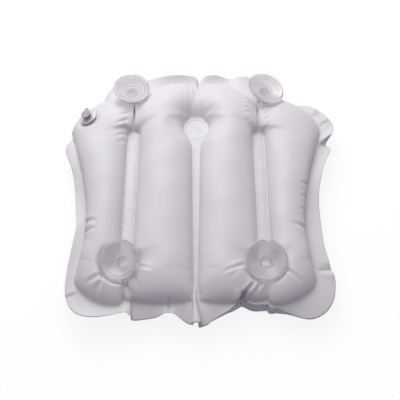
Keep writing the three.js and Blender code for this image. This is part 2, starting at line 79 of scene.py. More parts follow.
# Suction cups: place of each stud hole; how far the cup leans to the bottom and to the right, in degrees;
# and how far its soft bell bends on from there
CUP_RADIUS, CUP_RISE, CUP_LIP, CUP_WALL, CUP_CROWN = 23.5, 23, 2.4, 1.6, 10.5
CUP_NECK_DROP, CUP_SHOULDER_RADIUS, CUP_HOLLOW_RADIUS = 4.8, 19, 14
STUD_RADIUS, STUD_HOLE_RADIUS, STUD_HEAD_TOP, STUD_HEAD_HEIGHT = 4.5, 5.3, -4.05, 4.4
NECK_BEND_LENGTH = 6
CUP_TILT = 7
CUPS = {
    "upper_left": (-86, 142, -3, 7, 4, -1),
    "upper_right": (86, 142, -3, 14, 2, 0),
    "lower_left": (-80, -98.5, 12, -11, 1, -3),
    "lower_right": (80, -98.5, 13, 5, -1, -7),
}

# How each soft rim is bent: height of its wave and where, then widening share of its oval and where, with
# angles in radians
RIM_WAVES = {
    "upper_left": (0.7, 1.5, 0, 0),
    "upper_right": (1.2, 0.9, 0.05, -0.7),
    "lower_left": (0, 0, 0, 0),
    "lower_right": (0, 0, 0, 0),
}
# Dents of each rim: angle, spread, how far the rim rises there and the share by which it is drawn in
RIM_DENTS = {
    "upper_left": [(1.8, 0.5, 0, 0.07), (0.1, 0.4, 0, 0.049)],
    "upper_right": [],
    "lower_left": [(-0.4, 0.45, 1.6, 0.07), (1.75, 0.16, 0, 0.07)],
    "lower_right": [
        (1.45, 0.14, -0.8, 0.07), (2.1, 0.14, -0.64, 0.056), (1, 0.3, 0.8, 0), (2.6, 0.3, 0.8, 0),
    ],
}

# Room round the cups as they tilt: a hollow of the back sheet under each bell, where each mesh point of the
# bell stands for all of it within the spacing, and room for each stud head in the front sheet
CUP_GAP, HOLLOW_SLOPE, HOLLOW_REACH, HOLLOW_ROUNDING, HOLLOW_SLACK = 0.4, 2.5, 40, 5, 0.5
BELL_SPACING, NO_LIMIT = 0.8, 1e3
HEAD_ROOM, HEAD_ROOM_RADIUS, FRONT_HOLE_RADIUS = 1.6, 12.5, 6.2

# Inflation valve, whose base lies on the back sheet
VALVE_FLANGE_RADIUS, VALVE_RIM_WIDTH, VALVE_HOLE_RADIUS, VALVE_SEAT_BLEND = 11, 2, 6.4, 8

# Grid of the sheets
INNER_CELLS, OUTER_CELLS, SEAM_CELLS, CENTRE_CELLS, ROW_CELLS, FLANGE_CELLS = 32, 26, 12, 10, 116, 8
END_CROWDING = 0.6

# Keeps a length that divides off zero
TINY = 1e-9

# Flange: place along the weld, where its free edge lies, and how far that edge lifts from the weld.
# The place is x along the bottom and top edges, and y along the sides.
FLANGE_CURL, FLANGE_SMOOTHING = 1.4, 3
FLANGE = {
    "left": [
        (-118, -148, -128, 0), (-100, -147, -103, 1), (-78, -144, -80, 3), (-50, -141, -50, 2),
        (-25, -145, -24, -1), (0, -148, 1, -3), (20, -152, 22, -2), (34, -157, 37, 1),
        (46, -163, 50, 4), (56, -165, 60, 5), (64, -162, 70, 1), (72, -160, 78, -5),
        (85, -158, 92, -12),
    ],
    "right": [
        (-118, 160, -124, -2), (-110, 158, -111, 2), (-105, 156, -105, -3), (-99, 154, -98, 2),
        (-75, 150, -75, 2), (-50, 149, -50, 1), (-20, 149, -20, 0), (0, 151, 0, 1), (18, 155, 18, 3),
        (32, 159, 35, 4), (42, 164, 45, 4), (50, 168, 52, 3), (57, 171, 60, 1), (62, 170, 67, -4),
        (65, 166, 73, -10), (67, 165, 76, -11), (68.5, 172, 79, 5), (71, 175, 83, 5), (78, 177, 91, 4),
        (85, 176, 100, 3),
    ],
    "bottom": [
        (-138, -146, -140, 0), (-130, -142, -150, 1), (-120, -134, -160, 3), (-106, -116, -165, 5),
        (-94, -98, -163, 5), (-84, -84, -160, 5), (-77, -77, -159, 5), (-73, -72, -164, 4),
        (-71, -71, -166, -4), (-56, -56, -164, -4), (-40, -40, -162, -3), (-35, -35, -158, 1),
        (-30, -30, -156, 5), (-24, -24, -158, 2), (-18, -18, -162, -3), (-8, -8, -169, -6),
        (-2, -1, -171, -2), (1, 2, -171, 2), (3, 4, -173, -5), (10, 11, -171, -6), (19, 19, -167, -5),
        (26, 26, -162, -3), (38, 38, -156, 2), (46, 46, -154, 4), (50, 50, -154, 5), (54, 54, -154, 4),
        (60, 61, -155, 0), (72, 74, -155, 0), (88, 90, -155, -2), (100, 101, -157, -3),
        (112, 116, -162, -4), (122, 130, -166, -3), (132, 148, -156, -3), (138, 157, -140, -2),
    ],
    "top": [
        (-160, -157, 96, -13), (-150, -150, 107, -14), (-138, -141, 117, -13), (-126, -130, 128, -11),
        (-114, -122, 140, -6), (-104, -120, 151, -2), (-96, -112, 163, 0), (-86, -96, 170, 1),
        (-76, -76, 172, 2), (-66, -64, 172, 2), (-56, -55, 174, 3), (-42, -42, 177, 5),
        (-26, -26, 178, 6), (-12, -12, 178, 5), (-4, -1, 177, 3), (-1, 2, 174, 0), (1, 4, 167, -4),
        (3, 6, 172, 0), (6, 10, 178, 3), (16, 17, 178, 5), (26, 27, 178, 6), (36, 37, 177, 2),
        (44, 45, 176, -3), (52, 53, 176, 1), (60, 62, 178, 6), (70, 74, 174, 4), (86, 90, 168, 1),
        (100, 104, 156, -3), (112, 113, 142, -9), (122, 123, 133, -10), (130, 134, 133, -4),
        (138, 146, 132, 1), (148, 160, 121, 3), (155, 170, 110, 4), (160, 174, 102, 4),
    ],
}

# Wrinkles that run out from a weld or a cup: from, to, half width and depth. The low ridges beside a wrinkle
# are set by its depth and half width.
WRINKLE_RIDGE, WRINKLE_RIDGE_AT, WRINKLE_RIDGE_WIDTH = 0.45, 2.2, 1.2
WRINKLE_START, WRINKLE_FADE = 0.15, 0.7
WRINKLES = [
    ((-99, -115), (-124, -129), 2.2, 2.2), ((-102, -119), (-112, -143), 2, 1.8),
    ((-65, -106), (-47, -115), 1.8, 1.8), ((-82, -122), (-73, -141), 2.6, 3.6),
    ((-94, -118), (-118, -126), 2, 0.8), ((-70, -118), (-62, -136), 2, 1),
    ((57, -106), (31, -118), 1.8, 1.9), ((100, -112), (121, -128), 1.8, 1.9),
    ((48, -146), (67, -127), 1.5, 5), ((76, -124), (66, -140), 1.8, 1.6),
    ((50, -112), (38, -124), 2.2, 0.9), ((-132, -49), (-115, -51), 2.2, 2),
    ((-131, -63), (-115, -61), 2.2, 1.8), ((137, 3), (124, 1), 1.8, 1.2),
    ((136, -14), (124, -16), 1.8, 1), ((134, -32), (122, -34), 1.8, 1.2),
    ((130, -58), (112, -54), 2.4, 2.2), ((-18, 150), (-15, 106), 1, 0.6), ((3, 156), (0, 108), 1, 0.8),
    ((14, 112), (28, 122), 2.4, 0.5), ((-30, 112), (-42, 124), 2.4, 0.5),
    ((-9, 150), (-6, 112), 1.2, 0.4), ((-80, 128), (-79, 90), 1.1, 4.5), ((79, 130), (81, 92), 1, 1.6),
    ((47, -149), (54, -136), 2, 7), ((-86, 109), (-98, 102), 2, 1.2), ((-87, 98), (-102, 88), 2, 1.5),
    ((-88, 89), (-103, 78), 2, 1.3), ((-89, 80), (-103, 68), 2, 1), ((-89, 70), (-101, 58), 2, 0.7),
    ((70, 132), (62, 131), 1.3, 1.1), ((70, 124), (61, 122), 1.3, 1.2),
    ((70, 116), (61, 113), 1.3, 1.2), ((70, 108), (61, 104), 1.3, 1), ((71, 98), (62, 94), 1.3, 0.8),
    ((88, 106), (97, 110), 1.4, 0.9), ((88, 96), (98, 103), 1.4, 0.9), ((88, 86), (98, 94), 1.4, 0.8),
    ((88, 76), (97, 84), 1.4, 0.7), ((80, 115), (112, 131), 1.5, 1.6),
]

# Pleats of the flange: from the weld, to the free edge, and how much higher the sheet is on the left,
# going out
PLEATS = [
    ((-72, -140), (-70.5, -168), -3), ((-31, -141), (-30, -160), -2), ((-28, -141), (-29, -160), 1.6),
    ((0, -124), (4, -176), -4.5), ((-4, -130), (-1, -174), 3), ((150, 112), (158, 118), 0.8),
    ((157, 97), (167, 102), 0.9), ((138, -105), (154, -105), 1), ((-132, -133), (-147, -139), -1.1),
    ((54, -136), (50, -150), -2),
]
PLEAT_EDGE, PLEAT_REACH = 1.2, 7
PLEAT_START, PLEAT_END, PLEAT_END_FADE = 0.35, 1.6, 0.3

# Stretch of the bottom flange whose sheets part: x along the weld, how wide the back sheet is there, and the
# whole width of the front sheet, which is bent down under the back sheet's edge
PARTED_FLANGE = [
    (16, 21, 21), (25, 14, 17), (38, 7, 12), (46, 3, 12), (50, 2, 14), (55, 2, 18), (60, 2, 19),
    (75, 3, 19), (80, 6, 20), (90, 2, 12), (100, 7, 10), (108, 13.5, 13.5),
]
FLANGE_BEND, BEND_LENGTH, BEND_INSET, BEND_STEPS = 86, 3, 2.5, 8

# Place where the bottom edge is drawn in, beside the bent stretch
PINCH_AT, PINCH_REACH, PINCH_DEPTH = (53, -147), 9, 6

# Marks of the welding tool: beads and grooves along a side weld, as place across it, width and height; the
# fine ticks between them; and the bead round the centre weld's disc
STRIP_START_Y, STRIP_END_GAP, STRIP_FADE = -76, 3, 6
STRIP_MARKS = [(6.2, 1, 1), (4.2, 0.8, -0.9), (-6.6, 0.8, -0.4)]
TICK_HEIGHT, TICK_AT, TICK_WIDTH, TICK_LENGTH = 0.12, -1, 3, 1.5
DISC_BEAD_INSET, DISC_BEAD_WIDTH, DISC_BEAD_HEIGHT = 2, 1, 0.7

# Slow waves of the blown-up sheet: heights, lengths along x and y, and shifts of the broadest one. They start
# away from the welds.
WAVE_HEIGHTS = 0.35, 0.2, 0.15
WAVE_LENGTHS = (23, 31), (9, 14), (19, 7.3)
WAVE_SHIFT_X, WAVE_SHIFT_Y = 1.3, 0.7
WAVE_START, WAVE_FADE = 3, 6

# How far from a punched hole the points of its cut edge are drawn to the circle
CUT_REACH = 4


def lerp(start, end, share):
    return start + (end - start) * share


def arch(fraction):
    """Height of a unit arch over the fraction -1 to 1."""
    return np.sqrt(np.clip(1 - np.square(fraction), 0, None))


def smoothstep(share):
    share = np.clip(share, 0, 1)
    return share * share * (3 - 2 * share)


def hump(offset, width):
    """Rounded ridge of height 1."""
    return np.exp(-np.square(offset / width))


def soft_min(a, b, rounding):
    """Smaller of a and b, with the corner between them rounded off."""
    share = np.clip(0.5 + 0.5 * (b - a) / rounding, 0, 1)
    return lerp(b, a, share) - rounding * share * (1 - share)


# Shapes of the suction cups. Rings BELL_START to BELL_END of a cup are the outside of its bell. The stud head
# is a list of radius and height from its bottom, and the lip one of steps from the rim's outer corner.
CUP_STEPS, OUTER_STEPS, INNER_STEPS, BELL_START, BELL_END = 96, 24, 90, 14, 38
STUD_HEAD = [
    (0, 0), (2.6, 0.12), (4.2, 0.44), (5.8, 1.2), (6.8, 2.2), (7, 2.9), (6.8, 3.7), (6.3, STUD_HEAD_HEIGHT),
]
STUD_FILLET, STUD_MIDDLE = 0.2, 1
LIP = [(0.1, -0.4), (-0.1, -0.1), (-0.5, 0)]
RIDGE_RADII, RIDGE_WIDTH = [10.8, 14.4, 18.2], 0.9
UPPER_RIDGE_HEIGHT, LOWER_RIDGE_HEIGHT = 0.75, 0.32
PIT_RADIUS, PIT_DEPTH, PIT_EDGE_OUT, PIT_EDGE_WIDTH = 5.6, 2.6, 0.3, 0.7
PIT_RIM_OFFSET, PIT_RIM_WIDTH, PIT_RIM_HEIGHT = 1.2, 1, 1.6


def bezier(points, steps):
    """Points along a cubic curve between the first and last of four points."""
    share = np.linspace(0, 1, steps + 1)[:, None]
    rest = 1 - share
    a, b, c, d = np.array(points, float)
    return rest ** 3 * a + 3 * share * rest ** 2 * b + 3 * share ** 2 * rest * c + share ** 3 * d


def cup_profile(ridge_height):
    """Radius and height of a cup's outline.

    It runs from the stud head's middle up the outside and round the lip to the bell's middle.
    """
    top = STUD_HEAD_TOP
    bottom = top - STUD_HEAD_HEIGHT
    foot = CUP_CROWN - CUP_NECK_DROP
    head = [(radius, bottom + height) for radius, height in STUD_HEAD]
    stud = [(STUD_RADIUS + STUD_FILLET, top), (STUD_RADIUS, top + 2 * STUD_FILLET),
            (STUD_RADIUS, STUD_MIDDLE), (STUD_RADIUS, foot)]
    outer = bezier([(STUD_RADIUS, foot), (STUD_RADIUS + CUP_WALL, CUP_CROWN + CUP_WALL),
                    (CUP_SHOULDER_RADIUS, CUP_CROWN), (CUP_RADIUS, CUP_RISE - CUP_WALL / 2)], OUTER_STEPS)[1:]
    lip = [(CUP_RADIUS + out, CUP_RISE + up) for out, up in LIP]
    inner = bezier([(CUP_RADIUS - CUP_LIP, CUP_RISE), (CUP_RADIUS - CUP_LIP * 2, CUP_RISE - CUP_WALL),
                    (CUP_HOLLOW_RADIUS, CUP_CROWN + CUP_WALL * 2), (0, CUP_CROWN + CUP_WALL)], INNER_STEPS)
    for radius in RIDGE_RADII:
        inner[:, 1] += ridge_height * hump(inner[:, 0] - radius, RIDGE_WIDTH)
    inner[:, 1] += PIT_RIM_HEIGHT * hump(inner[:, 0] - PIT_RADIUS - PIT_RIM_OFFSET, PIT_RIM_WIDTH)
    inner[:, 1] -= PIT_DEPTH * smoothstep((PIT_RADIUS + PIT_EDGE_OUT - inner[:, 0]) / PIT_EDGE_WIDTH)
    return np.concatenate([head, stud, outer, lip, inner])


def lathe(profile, steps):
    """Points and faces of a closed turned body about +Z; the profile starts and ends on the axis."""
    turn = np.linspace(0, 2 * np.pi, steps, endpoint=False)
    rim = profile[1:-1]
    points = np.stack([np.outer(rim[:, 0], np.cos(turn)), np.outer(rim[:, 0], np.sin(turn)),
                       np.repeat(rim[:, 1:], steps, axis=1)], axis=-1).reshape(-1, 3)
    ends = [(0, 0, profile[0][1]), (0, 0, profile[-1][1])]
    start, end = len(points), len(points) + 1
    quads = []
    for ring in range(len(rim) - 1):
        low, high = ring * steps, (ring + 1) * steps
        for i in range(steps):
            j = (i + 1) % steps
            quads.append((low + i, low + j, high + j, high + i))
    last = (len(rim) - 1) * steps
    for i in range(steps):
        j = (i + 1) % steps
        quads.append((start, j, i))
        quads.append((end, last + i, last + j))
    return np.concatenate([points, ends]), quads


def bent_rim(points, place):
    """The soft bell out of round, as each cup in the photograph is."""
    angle = np.arctan2(points[:, 1], points[:, 0])
    radius = np.hypot(points[:, 0], points[:, 1])
    rim = (radius / CUP_RADIUS) ** 2 * (points[:, 2] > CUP_CROWN - CUP_NECK_DROP)
    wave_lift, lift_at, oval_share, oval_at = RIM_WAVES[place]
    lift = wave_lift * np.cos(2 * (angle - lift_at))
    width = 1 + rim * oval_share * np.cos(2 * (angle - oval_at))
    for at, spread, dent_lift, dent_share in RIM_DENTS[place]:
        dent = hump(angle - at, spread)
        lift = lift + dent_lift * dent
        width = width - rim * dent_share * dent
    bent = points.copy()
    bent[:, 2] += rim * lift
    bent[:, :2] *= width[:, None]
    return bent


def bell_bend(points, to_bottom, to_right):
    """The bell turned on its soft neck, which bends over a few millimetres."""
    foot = CUP_CROWN - CUP_NECK_DROP
    share = smoothstep((points[:, 2] - foot) / NECK_BEND_LENGTH + 0.5)
    right, down = np.radians(to_right) * share, np.radians(to_bottom) * share
    x, y, z = points[:, 0], points[:, 1], points[:, 2] - foot
    x, z = x * np.cos(right) + z * np.sin(right), z * np.cos(right) - x * np.sin(right)
    y, z = y * np.cos(down) - z * np.sin(down), z * np.cos(down) + y * np.sin(down)
    return np.stack([x, y, z + foot], axis=-1)


def turn(degrees, axis):
    """Matrix that turns points in rows about an axis."""
    return np.array(Matrix.Rotation(math.radians(degrees), 3, axis)).T


# Points of each cup from the place of its stud hole at the weld, leaning as it stands.
cup_points = {}
for place, (_, _, to_bottom, to_right, bend_bottom, bend_right) in CUPS.items():
    ridge_height = UPPER_RIDGE_HEIGHT if place.startswith("upper") else LOWER_RIDGE_HEIGHT
    upright, cup_quads = lathe(cup_profile(ridge_height), CUP_STEPS)
    bent = bell_bend(bent_rim(upright, place), bend_bottom, bend_right)
    cup_points[place] = bent @ turn(to_right, "Y") @ turn(to_bottom, "X")


# Weld lines. Each is a set of rows from the bottom to the top, with x, y and the lift of an open passage.
row_share = np.linspace(0, 1, ROW_CELLS + 1)
row_share = row_share - END_CROWDING * np.sin(2 * np.pi * row_share) / (2 * np.pi)
seam_y = lerp(BOTTOM_NOTCH_Y, TOP_NOTCH_Y, row_share)
centre_y = lerp(BOTTOM_NOTCH_Y, TOP_DIP_Y, row_share)
side_y = lerp(HIP_Y, SHOULDER_Y, row_share)


def round_weld(y, middle, radius):
    return radius * arch(np.clip((y - middle) / radius, -1, 1))


def passage_lift(y, start, end, depth=PASSAGE_DEPTH, steepness=1):
    """Height of the sheet along a passage. Steepness 1 gives it round ends; 2 lets it rise slowly."""
    return depth * arch(np.clip(2 * (y - start) / (end - start) - 1, -1, 1)) ** steepness


def seam_half(y):
    """Half width of a side weld: a bar with a round weld at its lower end, and a crease past both ends."""
    bar_end = np.sqrt(np.clip((SEAM_TOP_Y - y) / SEAM_END_LENGTH, 0, 1))
    bar = SEAM_HALF * np.where(y > SEAM_DISC_Y, bar_end, 0)
    return np.maximum(np.maximum(bar, round_weld(y, SEAM_DISC_Y, SEAM_DISC_RADIUS)), CREASE_HALF)


def centre_half(y):
    """Half width of the centre weld: a bar that widens to a round weld, with a shallow valley above it."""
    along_bar = np.clip((y - BOTTOM_NOTCH_Y) / (CENTRE_NECK_Y - BOTTOM_NOTCH_Y), 0, 1)
    bar = lerp(CENTRE_FOOT_HALF, CENTRE_HALF, along_bar)
    disc = round_weld(y, CENTRE_DISC_Y, CENTRE_DISC_RADIUS)
    shoulder_half = CENTRE_DISC_RADIUS * math.sqrt(0.5)
    shoulder_y = CENTRE_DISC_Y - shoulder_half
    neck = lerp(bar, shoulder_half, smoothstep((y - CENTRE_NECK_Y) / (shoulder_y - CENTRE_NECK_Y)))
    valley = CENTRE_VALLEY_HALF * (1 - smoothstep((y - CENTRE_DISC_Y) / VALLEY_LENGTH)) + CREASE_HALF
    return np.where(y < shoulder_y, neck, np.maximum(disc, valley))


def side_half(y):
    """Half width of the welded outline: widest at the shoulders, drawn in at the waist."""
    rise = np.clip((y - WAIST_Y) / (SHOULDER_Y - WAIST_Y), 0, None)
    drop = np.clip((WAIST_Y - y) / (WAIST_Y - HIP_Y), 0, None)
    return (WAIST_HALF + (SHOULDER_HALF - WAIST_HALF) * rise ** SHOULDER_SPREAD
            + (HIP_HALF - WAIST_HALF) * drop ** HIP_SPREAD)


seam_lift = (passage_lift(seam_y, SEAM_TOP_Y, TOP_NOTCH_Y, steepness=TOP_PASSAGE_STEEPNESS)
             + passage_lift(seam_y, BOTTOM_NOTCH_Y, SEAM_DISC_Y - SEAM_DISC_RADIUS))
centre_lift = passage_lift(centre_y, CENTRE_DISC_Y + CENTRE_DISC_RADIUS, TOP_DIP_Y,
                           CENTRE_PASSAGE_DEPTH, CENTRE_PASSAGE_STEEPNESS)
flat = np.zeros_like(row_share)


def hollow_limit(x, y):
    """Greatest height of the sheet round the cups, which keeps it under their bells as they tilt."""
    limit = np.full(x.shape, NO_LIMIT)
    for place, (cup_x, cup_y, *_) in CUPS.items():
        near = np.hypot(x - cup_x, y - cup_y) < HOLLOW_REACH
        right, up = x[near, None] - cup_x, y[near, None] - cup_y
        bell = cup_points[place][BELL_START * CUP_STEPS:BELL_END * CUP_STEPS]
        for degrees in (-CUP_TILT, 0, CUP_TILT):
            tilted = bell @ turn(degrees, "X")
            away = np.maximum(0, np.hypot(right - tilted[:, 0], up - tilted[:, 1]) - BELL_SPACING)
            above = tilted[:, 2] + HOLLOW_SLOPE * away
            room = above.min(axis=1) + WELD_Z - SHEET_TOP - CUP_GAP
            limit[near] = np.minimum(limit[near], np.maximum(0, room))
    return limit


def clear_of_cups(points, side):
    """Points of a sheet kept clear of the tilting cups.

    The back sheet, side 1, stays under their bells; the front one, side -1, over their stud heads.
    """
    clear = points.copy()
    x, y = clear[:, 0], clear[:, 1]
    if side > 0:
        clear[:, 2] = np.minimum(clear[:, 2], SHEET_TOP + hollow_limit(x, y))
        return clear
    for cup_x, cup_y, *_ in CUPS.values():
        away = np.maximum(0, np.hypot(x - cup_x, y - cup_y) - HEAD_ROOM_RADIUS)
        clear[:, 2] = np.maximum(clear[:, 2], WELD_Z + STUD_HEAD_TOP + HEAD_ROOM - HOLLOW_SLOPE * away)
    return clear


def tube(start, end, cells, depth, top_swell, bottom_swell, start_fullness, end_fullness):
    """Points of the sheet over one air tube, from weld line start to weld line end, column by column.

    A low fullness gives steep walls and a flat crown; the halves next to the two lines each have their own.
    """
    fraction = -np.cos(np.linspace(0, np.pi, cells + 1))[:, None]
    share = (fraction + 1) / 2
    swell = (top_swell * np.clip((row_share - TOP_SWELL_FROM) / (1 - TOP_SWELL_FROM), 0, 1) ** 2
             - bottom_swell * np.clip((BOTTOM_SWELL_TO - row_share) / BOTTOM_SWELL_TO, 0, 1) ** 2)
    x = lerp(start[0], end[0], share)
    y = lerp(start[1], end[1], share) + swell * arch(fraction)
    ends = (arch(1 - np.clip((y - y[:, :1]) / BOTTOM_ROUND, 0, 1))
            * arch(1 - np.clip((y[:, -1:] - y) / TOP_ROUND, 0, 1)))
    edge = lerp(start[2], end[2], share)
    fullness = np.where(fraction < 0, start_fullness, end_fullness)
    height = edge + np.clip(depth * ends - edge, 0, None) * (1 - np.square(fraction)) ** fullness
    return np.stack([x, y, soft_min(height, hollow_limit(x, y), HOLLOW_ROUNDING)], axis=-1)


def between(start, end, cells):
    """Points of the sheet over a weld, from one of its edges to the other, column by column."""
    share = np.linspace(0, 1, cells + 1)[:, None]
    return np.stack([lerp(a, b, share) for a, b in zip(start, end)], axis=-1)


def sheet_grid():
    """Points of the back sheet inside the outer weld.

    They are columns from left to right and rows from the bottom. The second result says which columns lie
    on a weld between tubes.
    """
    def line(x, y, lift, side):
        return side * x, y, lift

    halves = []
    valley = smoothstep((centre_y - VALLEY_START_Y) / (VALLEY_FULL_Y - VALLEY_START_Y))
    valley_fullness = lerp(FULLNESS, VALLEY_FULLNESS, valley)
    for side in (-1, 1):
        centre = line(centre_half(centre_y), centre_y, centre_lift, side)
        seam_inner = line(SEAM_X - seam_half(seam_y), seam_y, seam_lift, side)
        seam_outer = line(SEAM_X + seam_half(seam_y), seam_y, seam_lift, side)
        outline = line(side_half(side_y), side_y, flat, side)
        inner = tube(centre, seam_inner, INNER_CELLS, INNER_DEPTH, INNER_TOP_SWELL, INNER_BOTTOM_SWELL,
                     valley_fullness, FULLNESS)
        weld = between(seam_inner, seam_outer, SEAM_CELLS)
        outer = tube(seam_outer, outline, OUTER_CELLS, OUTER_DEPTH, OUTER_TOP_SWELL, OUTER_BOTTOM_SWELL,
                     FULLNESS, FLANK_FULLNESS)
        half = np.concatenate([inner[:-1], weld[:-1], outer])
        halves.append(half[::-1] if side < 0 else half)
    middle = between(tuple(halves[0][-1].T), tuple(halves[1][0].T), CENTRE_CELLS)[1:-1]
    tube_cells = [OUTER_CELLS, INNER_CELLS, INNER_CELLS, OUTER_CELLS]
    weld_cells = [SEAM_CELLS, CENTRE_CELLS, SEAM_CELLS]
    on_weld = []
    for cells, weld_count in zip(tube_cells, weld_cells + [0]):
        on_weld += [False] * (cells - 1 if on_weld else cells)
        on_weld += [True] * (weld_count + 1)
    return np.concatenate([halves[0], middle, halves[1]]), np.array(on_weld)


grid, on_weld = sheet_grid()
COLUMNS, ROWS = grid.shape[:2]


def outline_loop():
    """Grid places once round the welded outline from the bottom left, each with its edge's name."""
    last_c, last_r = COLUMNS - 1, ROWS - 1
    places = [(c, 0, "bottom") for c in range(COLUMNS)]
    places += [(last_c, r, "right") for r in range(1, last_r)]
    places += [(c, last_r, "top") for c in range(last_c, -1, -1)]
    places += [(0, r, "left") for r in range(last_r - 1, 0, -1)]
    return places


loop = outline_loop()


def round_smooth(values, passes):
    """Values round a closed loop, each evened out with its neighbours."""
    for _ in range(passes):
        values = (np.roll(values, 1, axis=0) + 2 * values + np.roll(values, -1, axis=0)) / 4
    return values


def flange_rings():
    """Points of the two sheets' flanges as rings, from next to the weld to the free edge."""
    weld = np.array([grid[c, r] for c, r, _ in loop])
    free, parted = [], []
    for point, (_, _, edge) in zip(weld, loop):
        at = point[1] if edge in ("left", "right") else point[0]
        columns = list(zip(*FLANGE[edge]))
        free.append([np.interp(at, columns[0], column) for column in columns[1:]])
        parted.append(edge == "bottom" and PARTED_FLANGE[0][0] < at < PARTED_FLANGE[-1][0])
    free = round_smooth(np.array(free), FLANGE_SMOOTHING)
    reach = np.maximum(TINY, np.hypot(*(free - weld)[:, :2].T))
    outward = (free - weld)[:, :2] / reach[:, None]
    places, back_widths, front_widths = zip(*PARTED_FLANGE)
    back_width = np.where(parted, np.interp(weld[:, 0], places, back_widths), reach)
    front_width = np.where(parted, np.interp(weld[:, 0], places, front_widths), reach)
    bend_at = np.where(parted, np.maximum(0, back_width - BEND_INSET), reach)
    out, down = np.zeros(len(loop)), np.zeros(len(loop))
    back_rings, front_rings = [], []
    for ring_number in range(1, FLANGE_CELLS + 1):
        share = ring_number / FLANGE_CELLS
        lift = free[:, 2] * share ** FLANGE_CURL
        ring = weld.copy()
        ring[:, :2] += outward * (back_width * share)[:, None]
        ring[:, 2] += lift
        back_rings.append(ring)
        for step in range(1, BEND_STEPS + 1):
            along = front_width * (share + (step / BEND_STEPS - 1) / FLANGE_CELLS)
            angle = math.radians(FLANGE_BEND) * smoothstep((along - bend_at) / BEND_LENGTH)
            out = out + np.cos(angle) * front_width / (FLANGE_CELLS * BEND_STEPS)
            down = down + np.sin(angle) * front_width / (FLANGE_CELLS * BEND_STEPS)
        under = weld.copy()
        under[:, :2] += outward * out[:, None]
        under[:, 2] += np.where(parted, np.minimum(0, lift), lift) - down
        front_rings.append(under)
    return np.array(back_rings), np.array(front_rings)


def sheet_faces():
    """Quads of the grid and of the flange, wound to face out of the pillow's back."""
    def at(c, r):
        return c * ROWS + r

    quads = [(at(c, r), at(c + 1, r), at(c + 1, r + 1), at(c, r + 1))
             for c in range(COLUMNS - 1) for r in range(ROWS - 1)]
    count = len(loop)
    inner = [at(c, r) for c, r, _ in loop]
    for ring in range(FLANGE_CELLS):
        outer = [COLUMNS * ROWS + ring * count + i for i in range(count)]
        quads += [(inner[i], outer[i], outer[(i + 1) % count], inner[(i + 1) % count]) for i in range(count)]
        inner = outer
    return quads


def welded_places():
    """Which grid points a weld holds: the bars, the round welds and the outline, but not the passages."""
    held = np.zeros((COLUMNS, ROWS), bool)
    held[on_weld] = grid[on_weld][:, :, 2] < WELD_TOUCH
    held[[0, -1]] = True
    held[:, [0, -1]] = True
    return held


held = welded_places()


# Meshes
def mesh_object(name, points, polygons):
    """Object with that mesh, smooth shaded. Points are in millimetres."""
    mesh = bpy.data.meshes.new(name)
    mesh.from_pydata((np.asarray(points) * MM).tolist(), [], polygons)
    mesh.shade_smooth()
    obj = bpy.data.objects.new(name, mesh)
    bpy.context.scene.collection.objects.link(obj)
    return obj


def evaluated_mesh(obj):
    graph = bpy.context.evaluated_depsgraph_get()
    return bpy.data.meshes.new_from_object(obj.evaluated_get(graph))


def apply_modifiers(obj):
    """Makes the mesh what its modifiers show."""
    mesh = evaluated_mesh(obj)
    obj.modifiers.clear()
    obj.data = mesh
    mesh.shade_smooth()


def mesh_points(mesh):
    flat_list = np.empty(3 * len(mesh.vertices))
    mesh.vertices.foreach_get("co", flat_list)
    return flat_list.reshape(-1, 3) / MM


def set_points(mesh, points):
    mesh.vertices.foreach_set("co", (points * MM).ravel())
    mesh.update()


# Air in the tubes: a cloth simulation of the sheet, held at its welds
AIR_PRESSURE = 6
SLACK_NEAR_WELDS, SLACK_REACH = 0.05, 30
AIR_FRAMES = 22
AIR_REACH = 4


def blown_up(points):
    """Grid points after the simulation, moved no further than AIR_REACH."""
    faces = [f for f in sheet_faces() if max(f) < COLUMNS * ROWS]
    obj = mesh_object("air", points, faces)
    fixed = obj.vertex_groups.new(name="held")
    fixed.add(np.flatnonzero(held.ravel()).tolist(), 1, "REPLACE")
    weld_points = points[held.ravel()][:, :2]
    slack = obj.vertex_groups.new(name="slack")
    for index, point in enumerate(points):
        near = np.min(np.hypot(*(weld_points - point[:2]).T))
        slack.add([index], float(1 - smoothstep(near / SLACK_REACH)), "REPLACE")
    cloth = obj.modifiers.new("air", "CLOTH")
    settings = cloth.settings
    settings.quality = 5
    settings.mass = 0.1
    settings.tension_stiffness = 30
    settings.compression_stiffness = 30
    settings.shear_stiffness = 10
    settings.bending_stiffness = 0.4
    settings.air_damping = 4
    settings.vertex_group_mass = "held"
    settings.vertex_group_shrink = "slack"
    settings.shrink_min = 0
    settings.shrink_max = -SLACK_NEAR_WELDS
    settings.use_pressure = True
    settings.uniform_pressure_force = AIR_PRESSURE
    settings.effector_weights.gravity = 0
    cloth.collision_settings.use_collision = False
    scene = bpy.context.scene
    cloth.point_cache.frame_end = AIR_FRAMES
    for step in range(1, AIR_FRAMES + 1):
        scene.frame_set(step)
    moved = mesh_points(evaluated_mesh(obj)) - points
    scene.frame_set(1)
    bpy.data.objects.remove(obj)
    length = np.linalg.norm(moved, axis=1, keepdims=True)
    return points + moved * np.minimum(1, AIR_REACH / np.maximum(length, TINY))


flat_points = grid.reshape(-1, 3)
flat_points = blown_up(flat_points)
highest = hollow_limit(flat_points[:, 0], flat_points[:, 1]) + HOLLOW_SLACK
flat_points[:, 2] = np.minimum(flat_points[:, 2], highest)
back_rings, front_rings = flange_rings()
faces = sheet_faces()


def pinched(points):
    """Points with the bottom edge drawn in at the pinch."""
    moved = points.copy()
    moved[:, 1] += PINCH_DEPTH * hump(np.hypot(*(points[:, :2] - PINCH_AT).T), PINCH_REACH)
    return moved


def place_back(points):
    """Points of the back sheet and its flange, over the weld."""
    placed = np.concatenate([points, back_rings.reshape(-1, 3)])
    placed[:, 2] += SHEET_TOP
    return pinched(placed)


